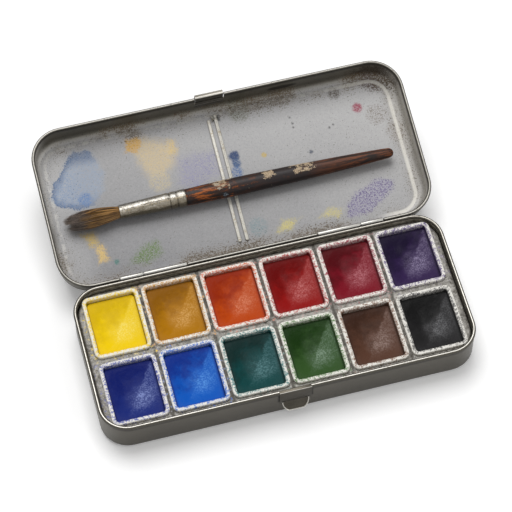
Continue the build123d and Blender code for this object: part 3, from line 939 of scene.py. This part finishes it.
tray = block("pan_tray_sheet", (-53.6, -22.15, 0.55), (53.6, 22.15, 9.65))
pick("edges", upright)
round_off(7.1, 8)
pick("faces", lambda middle, face: middle.z < 0.6)
bpy.ops.mesh.delete(type="FACE")
pick("edges", lambda middle, edge: middle.z > 9.6 and len(edge.link_faces) == 2)
round_off(0.6, 3)
pick("faces", lambda middle, face: (
    middle.z < 8.9 and abs(middle.x) > 46.5 and abs(middle.y) > 15.1
))
bpy.ops.mesh.delete(type="FACE")
slit(9.65, y=0)
for column in (-2, -1, 0, 1, 2):
    slit(9.65, x=column * PITCH_X)
wall_up(tray, 0.35, outwards=False)
window = rounded_block("window", 15.3, 18.9, 8.5, 10.5, 1.6)
let_go()
window.location = (-2.5 * PITCH_X * MM, -0.5 * PITCH_Y * MM, 0)
settle(window)
for count, step in ((6, (PITCH_X * MM, 0, 0)), (2, (0, PITCH_Y * MM, 0))):
    row = window.modifiers.new("row", "ARRAY")
    row.count = count
    row.use_relative_offset = False
    row.use_constant_offset = True
    row.constant_offset_displace = step
    use(window, row)
carve(tray, window)
soften(tray, 0.12)
smooth(tray, 40)

# The paints as they look from afar: the far row from left to right, then the near row.
PAINTS = {
    "yellow": tint(238, 205, 30), "ochre": tint(196, 138, 30), "orange": tint(206, 92, 40),
    "red": tint(170, 44, 44), "crimson": tint(150, 44, 66), "violet": tint(84, 62, 120),
    "ultramarine": tint(44, 66, 160), "blue": tint(30, 104, 200), "teal": tint(30, 112, 112),
    "green": tint(74, 118, 52), "brown": tint(120, 84, 62), "black": tint(62, 60, 62),
}
IN_A_ROW = 6


def nearby_paint(place, x, y, drift):
    """The colour of the pan nearest to each point, its borders washed out by drift millimetres."""
    wander = place.grain(0.22, 3.0, 0.6)
    wander_y = place.grain(0.31, 3.0, 0.6)
    column = (x + (wander - 0.5) * drift) / (IN_A_ROW * PITCH_X) + 0.5
    rows = []
    for start in (0, IN_A_ROW):
        shades = list(PAINTS.values())[start:start + IN_A_ROW]
        stops = [(number / IN_A_ROW, shade) for number, shade in enumerate(shades)]
        rows.append(place.finish.node("ValToRGB", {"stops": stops, "blending": "CONSTANT"}, {0: column}))
    front = (y + (wander_y - 0.5) * drift).rise(0.3, -0.3)
    return mix(rows[0], rows[1], front)


tray_finish = Finish("tray_finish", {"Metallic": 0.3, "Specular IOR Level": 0.3})
place, x, y, z = on_base(tray_finish)
cloud, fine = place.grain(0.3, 4.0), place.grain(2.0, 5.0, 0.7)
stain = place.grain(0.8, 5.0, 0.7)
rough = place.grain(1.3, 5.0, 0.8)
tone = (cloud - 0.5) * 1.0 + (rough - 0.5) * 2.6 + 0.45
# Painted shade in the narrow gaps between the columns of pans, broken up by the stain pattern.
shaded_lane = (x / PITCH_X).within(-0.5, 0.5).size().rise(0.045, 0.015)
shaded_lane = shaded_lane * x.size().rise(50.0, 49.0) * z.rise(9.0, 9.3)
tray_finish.feed({
    "Base Color": layered(
        mix(tint(72, 68, 61), tint(184, 181, 175), tone),
        (nearby_paint(place, x, y, 9.0), stain.rise(0.56, 0.62) * 0.55),
        (tint(66, 59, 48), (stain * 0.6 + fine * 0.4).rise(0.46, 0.38) * 0.8),
        (tint(206, 203, 196), (fine * 0.7 + stain * 0.3).rise(0.56, 0.62) * 0.6),
        (tint(50, 45, 37), shaded_lane * stain.rise(0.64, 0.50) * 0.75),
    ),
    "Roughness": 0.42 + fine * 0.3,
    "Normal": tray_finish.relief(fine + cloud, 0.04),
})
tray.data.materials.append(tray_finish.material)
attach(tray, "tray")
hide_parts("pan_tray")


# Half pans. Twelve cups of white plastic, all from one mould, with a rounded rim that rests on
# the tray and a body that narrows below it. Each is stained by its own paint and its neighbours'.
PAN_RIM = (16.5, 20.1)
RIM_FOOT, RIM_TOP = 9.7, 10.6
pan = rounded_block("half_pan", *PAN_RIM, RIM_FOOT, RIM_TOP, 2.0, 6)
pick("faces", lambda middle, face: middle.z < RIM_FOOT + 0.01)
bpy.ops.mesh.inset(thickness=0.75 * MM)
draw_out(z=-8.95)
bpy.ops.transform.resize(value=(13.6 / 15.0, 17.2 / 18.6, 1))
pick("faces", lambda middle, face: middle.z > RIM_TOP - 0.01)
bpy.ops.mesh.inset(thickness=1.15 * MM)
draw_out(z=-9.05)
bpy.ops.transform.resize(value=(12.4 / 14.2, 15.8 / 17.6, 1))
pick("edges", lambda middle, edge: middle.z > RIM_TOP - 0.01 and edge.calc_face_angle(0) > 0.8)
round_off(0.33, 3)
pick("edges", lambda middle, edge: middle.z < 0.8)
round_off(0.4, 2)
let_go()
smooth(pan, 50)

pan_finish = Finish("pan_finish", {"Specular IOR Level": 0.3})
place, x, y, z = on_base(pan_finish)
cloud, fine = place.grain(0.5, 4.0), place.grain(2.6, 5.0, 0.75)
stain = place.grain(1.3, 5.0, 0.75)
in_pan_x = (x - PITCH_X / 2).within(-PITCH_X / 2, PITCH_X / 2).size()
in_pan_y = (y - PITCH_Y / 2).within(-PITCH_Y / 2, PITCH_Y / 2).size()
mouth = (in_pan_x - 7.1).or_more(in_pan_y - 8.8)
narrowed = (10.6 - z) * 0.088
body = (in_pan_x + narrowed - 7.3).or_more(in_pan_y + narrowed - 9.1)
edge = mouth.rise(1.2, 0.2) + (mouth - 0.8).rise(0.1, 0.6) * 0.5
own = nearby_paint(place, x, y, 0.0)
clean = mix(tint(196, 193, 184), tint(232, 229, 220), cloud * 1.4 - 0.2)
pan_finish.feed({
    "Base Color": layered(
        mix(tint(220, 216, 206), tint(255, 253, 247), (cloud - 0.5) * 0.8 + fine),
        (nearby_paint(place, x, y, 16.0), stain.rise(0.57, 0.62) * 0.8),
        (own, (stain * 0.5 + fine * 0.5 + edge * 0.09).rise(0.54, 0.60) * 0.85),
        (tint(128, 118, 98), (cloud * 0.35 + fine * 0.65).rise(0.35, 0.30) * 0.5),
        # Inside the mouth the walls carry their own paint, darkened as painted shade.
        (mix(own, BLACK, 0.6), mouth.rise(0.12, -0.12) * z.rise(10.4, 10.0)),
        (
            mix(clean, own, (stain * 0.5 + fine * 0.5).rise(0.60, 0.66) * 0.5),
            body.rise(-0.05, 0.05) * z.rise(9.9, 9.6),
        ),
    ),
    "Roughness": 0.36 + fine * 0.3,
    "Normal": pan_finish.relief(fine + cloud * 1.5, 0.025),
})
pan.data.materials.append(pan_finish.material)


def copy_of(piece, name, x, y):
    """A copy with a mesh of its own, set down elsewhere."""
    take(piece)
    bpy.ops.object.duplicate()
    copy = bpy.context.object
    copy.name = name
    copy.location = (x * MM, y * MM, 0)
    settle(copy)
    return copy


def pan_spot(colour_name):
    """The middle of a paint's window in the tray."""
    row, column = divmod(list(PAINTS).index(colour_name), IN_A_ROW)
    return (column - 2.5) * PITCH_X, (0.5 - row) * PITCH_Y


for colour_name in PAINTS:
    its_pan = copy_of(pan, "half_pan_" + colour_name, *pan_spot(colour_name))
    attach(its_pan, "half_pan_" + colour_name)
    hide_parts("pan_" + colour_name)
bpy.data.objects.remove(pan)


# Paint cakes. Poured wet into the pans and dried hard, then worn by the brush into a hollow with
# soft creases towards its corners. Each has its own depth of wear and a grainy bloom where it
# was last wetted. A sheen is painted over the bloom, and shade on the side turned from the light.
def wear_down(chosen, depth, reach):
    """Lowers the points chosen, and those within reach of them by a smooth fall."""
    pick("verts", chosen)
    bpy.ops.transform.translate(
        value=(0, 0, -depth * MM),
        use_proportional_edit=True,
        proportional_edit_falloff="SMOOTH",
        proportional_size=reach * MM,
    )


def worn_cake(name, depth, spots):
    """A cake worn down in its middle, then pressed or raised at spots: X, Y, depth and reach."""
    cake = rounded_block(name, 13.9, 17.3, 1.56, 9.85, 1.1, 5)
    pick("faces", lambda middle, face: middle.z < 1.6)
    bpy.ops.transform.resize(value=(12.4 / 13.9, 15.8 / 17.3, 1))
    let_go()
    worn = block("worn_away", (-7.5, -9.3, 9.15), (7.5, 9.3, 10.65))
    pick("faces", lambda middle, face: middle.z < 9.25)
    bpy.ops.mesh.subdivide(number_cuts=35, smoothness=0)
    in_middle = lambda middle, point: middle.z < 9.25 and abs(middle.x) < 2.2 and abs(middle.y) < 3.8
    wear_down(in_middle, depth, 5.2)
    for x, y, pressed, reach in spots:
        at_spot = lambda middle, point: middle.z < 10 and hypot(middle.x - x, middle.y - y) < 0.35
        wear_down(at_spot, pressed, reach)
    let_go()
    carve(cake, worn)
    smooth(cake, 50)
    return cake


# Each cake: how far it is worn down in its middle, where it was pressed or left standing, and its
# tints in painted shade, where it is plain, and where a bloom has dried on it under a painted sheen.
CAKES = {
    "yellow": (0.80, [(1.0, -1.0, 0.10, 3)], (216, 180, 0), (242, 205, 0), (252, 230, 116)),
    "ochre": (0.95, [(2.0, -3.0, 0.12, 3), (-2.0, 2.0, 0.10, 3)],
              (138, 88, 0), (174, 116, 0), (220, 170, 98)),
    "orange": (0.80, [(-1.0, 2.0, 0.15, 4)], (146, 38, 0), (184, 66, 0), (220, 138, 104)),
    "red": (1.10, [(-2.0, -1.0, 0.30, 3.5), (1.5, 3.5, 0.20, 2.5), (3.0, -3.0, -0.20, 3)],
            (102, 0, 0), (142, 14, 12), (200, 118, 116)),
    "crimson": (1.10, [(-2.5, 1.0, 0.25, 3), (0.5, 2.0, -0.20, 2)],
                (80, 0, 10), (122, 14, 32), (184, 112, 120)),
    "violet": (1.00, [(-1.5, 1.0, 0.35, 2.5), (1.0, 4.0, 0.25, 2.5), (1.5, 0.0, -0.25, 2.5)],
               (18, 6, 38), (46, 28, 70), (146, 134, 166)),
    "ultramarine": (0.90, [(-1.0, 3.0, 0.15, 3)], (0, 20, 98), (20, 38, 114), (136, 150, 206)),
    "blue": (0.75, [(0.5, -3.0, 0.15, 3)], (0, 44, 136), (0, 86, 186), (88, 150, 226)),
    "teal": (0.80, [(-3.0, 0.0, 0.12, 4)], (0, 36, 34), (0, 62, 62), (94, 136, 140)),
    "green": (0.95, [(-2.5, 2.5, 0.22, 3.5)], (14, 46, 0), (46, 78, 32), (132, 154, 134)),
    "brown": (0.95, [(1.0, 1.0, 0.10, 3)], (54, 30, 18), (84, 54, 40), (152, 130, 122)),
    "black": (1.00, [(-2.0, -0.5, 0.22, 3), (1.0, 3.0, 0.15, 2.5)],
              (8, 8, 8), (30, 29, 30), (112, 112, 114)),
}


def cake_finish(name, tints, middle_x, middle_y):
    """Dried paint: painted shade on the side turned from the light and at the edges, and past a crease a
    grainy, pale bloom under a painted sheen.
    """
    shade_tint, body, bloom_and_sheen = (tint(*card) for card in tints)
    cake = Finish(name + "_cake_finish", {"Specular IOR Level": 0.08})
    place, x, y, z = on_base(cake)
    x, y = x - middle_x, y - middle_y
    cloud = place.grain(0.28, 4.0)
    streak = place.grain(0.7, 5.0, 0.65)
    grains = place.grain(2.7, 3.0, 0.75)
    crease = x * 0.833 - y * 0.553 - 0.97 + (streak - 0.5) * 2.0 + (cloud - 0.5) * 2.0
    # A grainy bloom past the crease and round a spot right of the middle, with a painted sheen of the
    # light over it.
    fan = crease.rise(-0.3, 0.5) * crease.rise(9.5, 2.0) * y.rise(-9.0, -2.0)
    sheen = diagonal((x - 1.6) / 4.6, (y + 1.8) / 4.4) + (cloud - 0.5) * 1.2
    # Painted shade on the slope turned from the light, towards the upper left.
    shade = y * 0.09 - x * 0.05 + (cloud - 0.5) * 1.6 + (streak - 0.5) * 0.8
    powder_and_sheen = fan * 0.32 + sheen.rise(1.15, 0.15) * 0.42
    powder_and_sheen = powder_and_sheen * (0.25 + (grains + (streak - 0.5) * 0.4).rise(0.44, 0.62))
    # Painted shade along the edges, where the pan walls stand over the cake.
    rim = (x.size() - 6.0).or_more(y.size() - 7.7).rise(0.2, 0.9)
    cake.feed({
        "Base Color": layered(
            body,
            (shade_tint, shade.rise(-0.35, 0.75) * (1 - fan * 0.8)),
            (bloom_and_sheen, powder_and_sheen.or_less(1.0)),
            (shade_tint, rim * 0.8),
        ),
        "Roughness": 0.40 + (grains - 0.5) * 0.4 + powder_and_sheen * 0.1,
        "Normal": cake.relief(grains * 0.5 + streak * 1.5 + cloud * 2.0, 0.09),
    })
    return cake.material


for colour_name, (depth, spots, *tints) in CAKES.items():
    middle_x, middle_y = pan_spot(colour_name)
    cake = worn_cake("cake_" + colour_name, depth, spots)
    cake.location = (middle_x * MM, middle_y * MM, 0)
    settle(cake)
    cake.data.materials.append(cake_finish(colour_name, tints, middle_x, middle_y))
    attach(cake, "half_pan_" + colour_name)
    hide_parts("paint_" + colour_name)
    "paint_" + colour_name


# Brush handle. Turned from hardwood and lacquered dark, with a swell behind the ferrule and a
# long taper. The lacquer is cracked and chipped to the bare wood, and paint has dried on it.
BRUSH_PLACE = (0, 21.0, -4.35)
BRUSH_TURN = -0.2


def turned(name, stations, sides=36):
    """A round piece along X, drawn out from station to station: X and radius."""
    x_first, radius_first = stations[0]
    bpy.ops.mesh.primitive_circle_add(
        vertices=sides, radius=radius_first * MM, fill_type="NGON",
        location=(x_first * MM, 0, 0), rotation=(0, radians(90), 0),
    )
    piece = bpy.context.object
    piece.name = name
    settle(piece)
    bpy.ops.object.mode_set(mode="EDIT")
    bpy.ops.mesh.select_all(action="SELECT")
    for (x_here, radius_here), (x, radius) in zip(stations, stations[1:]):
        draw_out(x=x - x_here)
        wider = radius / radius_here
        bpy.ops.transform.resize(value=(1, wider, wider), center_override=(x * MM, 0, 0))
    close_up()
    return piece


def lay_brush(piece):
    """Lays a piece of the brush across the ribs of the open lid."""
    piece.location = [c * MM for c in BRUSH_PLACE]
    piece.rotation_euler = (0, 0, radians(BRUSH_TURN))
    settle(piece)
    open_lid(piece)


def on_brush(finish):
    """Where a point lies on the brush: the vector, X along the handle, Y and Z across it."""
    return in_millimetres(finish, on_axes(finish, lid_place(finish), BRUSH_PLACE, (0, 0, BRUSH_TURN)))


handle = turned("handle_wood", [
    (-24.6, 2.0), (-14.62, 2.3), (-14.55, 2.4), (-14.3, 2.46), (-10.0, 2.55), (-5.0, 2.65),
    (0.0, 2.70), (6.0, 2.66), (12.0, 2.59), (18.0, 2.51), (23.0, 2.4), (30.0, 2.2), (36.0, 2.0),
    (42.0, 1.76), (45.5, 1.58), (46.8, 1.5), (47.6, 1.38), (48.2, 1.0), (48.5, 0.5), (48.59, 0.15),
])
lay_brush(handle)
smooth(handle, 60)
wood = Finish("handle_finish", {"Coat Roughness": 0.25, "Specular IOR Level": 0.22})
place, x, y, z = on_brush(wood)
grain = place.grain(1.3, 5.0, 0.7, (0.10, 1, 1))
cloud = place.grain(0.22, 4.0, 0.6, (0.6, 1, 1))
chips = place.grain(0.75, 5.0, 0.75, (0.6, 1, 1))
fine = place.grain(3.0, 4.0, 0.7)
tone = (cloud - 0.5) * 1.2 + (grain - 0.5) * 3.2 + 0.34
redder = x.rise(20, 40) * grain.rise(0.42, 0.6)
orange = (x + y * 5).rise(8, -12).or_more(x.rise(30, 40) * 0.22)
orange = (grain + fine * 0.2).rise(0.60, 0.70) * orange
black = (cloud * 0.6 + chips * 0.5 + x.rise(-6, 2) * 0.06).rise(0.53, 0.60) * x.rise(30, 20)
CHIPPED = ((-4.0, 3.6), (10.5, 2.8), (21.0, 5.0))
worn = sum((((x - at) / reach) ** 2.0 * -1.0 + 1.0).or_more(0.0) for at, reach in CHIPPED)
bare = (chips + (fine - 0.5) * 0.25 + worn * y.rise(-1.8, 0.4) * 0.24).rise(0.68, 0.71)
bare_wood = mix(tint(118, 90, 64), tint(214, 194, 164), (fine - 0.5) * 3.0 + 0.6)
blue_grey = chips + fine * 0.2 + ((x + 4.5) / 3.4) ** 2.0 * -0.12
wood.feed({
    "Base Color": layered(
        mix(tint(26, 15, 11), tint(98, 54, 30), tone),
        (tint(116, 62, 32), redder * 0.45),
        (tint(176, 94, 34), orange * 0.85),
        (tint(26, 23, 25), black * 0.9),
        (bare_wood, bare * 0.9),
        (tint(132, 146, 158), blue_grey.rise(0.66, 0.70) * x.rise(2, 0) * 0.6),
    ),
    "Roughness": 0.42 + fine * 0.25 + bare * 0.2,
    "Coat Weight": (1 - bare) * 0.12,
    "Normal": wood.relief(grain * 0.8 + chips * 0.8 + fine * 0.4, 0.12),
})
handle.data.materials.append(wood.material)
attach(handle, "brush")
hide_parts("brush_handle")


# Ferrule. A seamless tube of plated brass, tapered towards the hair, crimped in two rings round
# the handle, and dented and scratched with use.
ferrule = turned("ferrule_tube", [
    (-34.5, 1.8), (-34.5, 1.95), (-34.42, 2.04), (-34.3, 2.06), (-34.0, 2.065), (-30.0, 2.185),
    (-26.0, 2.305), (-22.0, 2.425), (-20.1, 2.48), (-19.7, 2.42), (-19.4, 2.35), (-19.1, 2.43),
    (-18.7, 2.52), (-17.9, 2.54), (-17.5, 2.48), (-17.2, 2.41), (-16.9, 2.49), (-16.5, 2.585),
    (-15.2, 2.62), (-14.8, 2.64), (-14.62, 2.6), (-14.6, 2.4),
])
lay_brush(ferrule)
smooth(ferrule, 60)
plated = Finish("ferrule_finish", {"Metallic": 1.0})
place, x, y, z = on_brush(plated)
cloud, fine = place.grain(0.5, 4.0), place.grain(2.8, 5.0, 0.75)
dents = place.grain(0.6, 3.0, 0.5)
tone = (fine - 0.5) * 3.2 + (cloud - 0.5) * 0.8 + 0.5
soot = (fine * 0.7 + cloud * 0.4).rise(0.50, 0.40)
scratch = place.grain(2.2, 3.0, 0.6, (0.3, 1, 1)).rise(0.60, 0.66)
lower = y * 0.9 - z * 0.45
# Painted shade in the two crimped grooves and at the step at the back end.
rings = sum(x.near(at, 0.34, 0.10) for at in (-19.4, -17.2, -14.7))
crease = (lower + 1.0 + (cloud - 0.5) * 0.5).near(0.0, 0.22, 0.06)
crease = crease * x.rise(-30, -27) * x.rise(-19, -20)
brassy = lower.near(-1.45, 0.3, 0.1) * fine.rise(0.48, 0.60)
plated.feed({
    "Base Color": layered(
        mix(tint(80, 74, 65), tint(186, 183, 176), tone),
        (tint(70, 60, 46), soot * 0.8),
        (tint(222, 219, 212), scratch * 0.8),
        # Painted shade on the lower side of the tube.
        (tint(112, 102, 82), lower.rise(-0.6, -2.4) * 0.7),
        (tint(50, 44, 36), rings.or_less(1.0) * 0.6),
        (tint(60, 52, 40), crease * 0.8),
        (tint(150, 130, 88), brassy * 0.7),
    ),
    "Roughness": 0.22 + fine * 0.25,
    "Normal": plated.relief(dents * 2.0 + fine * 0.5, 0.12),
})
ferrule.data.materials.append(plated.material)
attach(ferrule, "brush")
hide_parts("brush_ferrule")


# Brush hair. Brown squirrel hair, glued into the ferrule. It swells out of it, is pinched into
# uneven locks by dried paint and frays to a soft, dark point.
HAIRS = 900
HAIR_ROOT = -34.3
HAIR_TIP = -50.2
# Each hair: the share of its length, how far out it lies and how thick it is.
HAIR_SHAPE = [
    (0, 1.6, 1.0), (0.18, 2.1, 1.1), (0.4, 2.62, 1.1), (0.64, 2.85, 0.9), (0.84, 2.6, 0.6), (1, 2.1, 0.2),
]
LOCKS = 26
chance = Random(11)
strands = bpy.data.curves.new("hair", "CURVE")
strands.dimensions = "3D"
strands.resolution_u = 2
strands.bevel_depth = 0.075 * MM
strands.bevel_resolution = 0
strands.use_fill_caps = True


def sunflower(number, count):
    """Spreads points evenly over a disc: the share of its radius, then across and up."""
    share = ((number + 0.5) / count) ** 0.5
    angle = number * pi * (3 - 5 ** 0.5)
    return share, share * cos(angle), share * sin(angle)


locks = []
tones = []
for number in range(LOCKS):
    share, across, up = sunflower(number, LOCKS)
    locks.append((across, up, chance.uniform(-1.4, 1.2), chance.uniform(-0.15, 0.25)))
for number in range(HAIRS):
    share, across, up = sunflower(number, HAIRS)
    lock = min(locks, key=lambda spot: hypot(spot[0] - across, spot[1] - up))
    tip = HAIR_TIP + 2.2 * share ** 2 + chance.uniform(0, 1.4) + 1.3 * lock[2]
    tip = max(tip, HAIR_TIP - 1.0)
    loose = 0.9 if number % 6 == 0 else 0.35
    stray = (chance.uniform(-loose, loose), chance.uniform(-0.3, 0.3))
    strayed = hypot(lock[0] - across, lock[1] - up) * LOCKS ** 0.5
    tones.append(1.05 - strayed * 0.9 + lock[3] + chance.uniform(-0.2, 0.2))
    hair = strands.splines.new("NURBS")
    hair.points.add(len(HAIR_SHAPE) - 1)
    for point, (along, radius, thickness) in zip(hair.points, HAIR_SHAPE):
        pull = 0.80 * along ** 1.6
        y, z = (
            radius * (own * (1 - pull) + shared * pull) + astray * along ** 3
            for own, shared, astray in zip((across, up), lock, stray)
        )
        x = HAIR_ROOT + along * (tip - HAIR_ROOT)
        point.co = (x * MM, (y - 0.12 * along) * MM, z * MM, 1)
        point.radius = thickness
    hair.order_u = 4
    hair.use_endpoint_u = True
tuft = bpy.data.objects.new("brush_hair", strands)
bpy.context.scene.collection.objects.link(tuft)
take(tuft)
bpy.ops.object.convert(target="MESH")
tuft = bpy.context.object
per_hair = len(tuft.data.vertices) // HAIRS
tones = [tone for tone in tones for _ in range(per_hair)]
tuft.data.attributes.new("hair_tone", "FLOAT", "POINT").data.foreach_set("value", tones)
weld()
lay_brush(tuft)
smooth(tuft, 60)
hair_finish = Finish("hair_finish", {"Roughness": 0.55})
place, x, y, z = on_brush(hair_finish)
tone = hair_finish.node("Attribute", {"attribute_name": "hair_tone"}, {}, output="Fac")
clump = place.grain(0.9, 3.0, 0.6, (0.25, 1, 1))
brown = mix(tint(58, 36, 18), tint(196, 150, 88), tone + (clump - 0.5) * 1.0)
grey = mix(tint(38, 32, 30), tint(158, 142, 130), tone)
colour = mix(brown, grey, (x + (clump - 0.5) * 8).rise(-42.0, -47.0))
hair_finish.feed({"Base Color": colour})
tuft.data.materials.append(hair_finish.material)
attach(tuft, "brush")
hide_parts("brush_tuft")
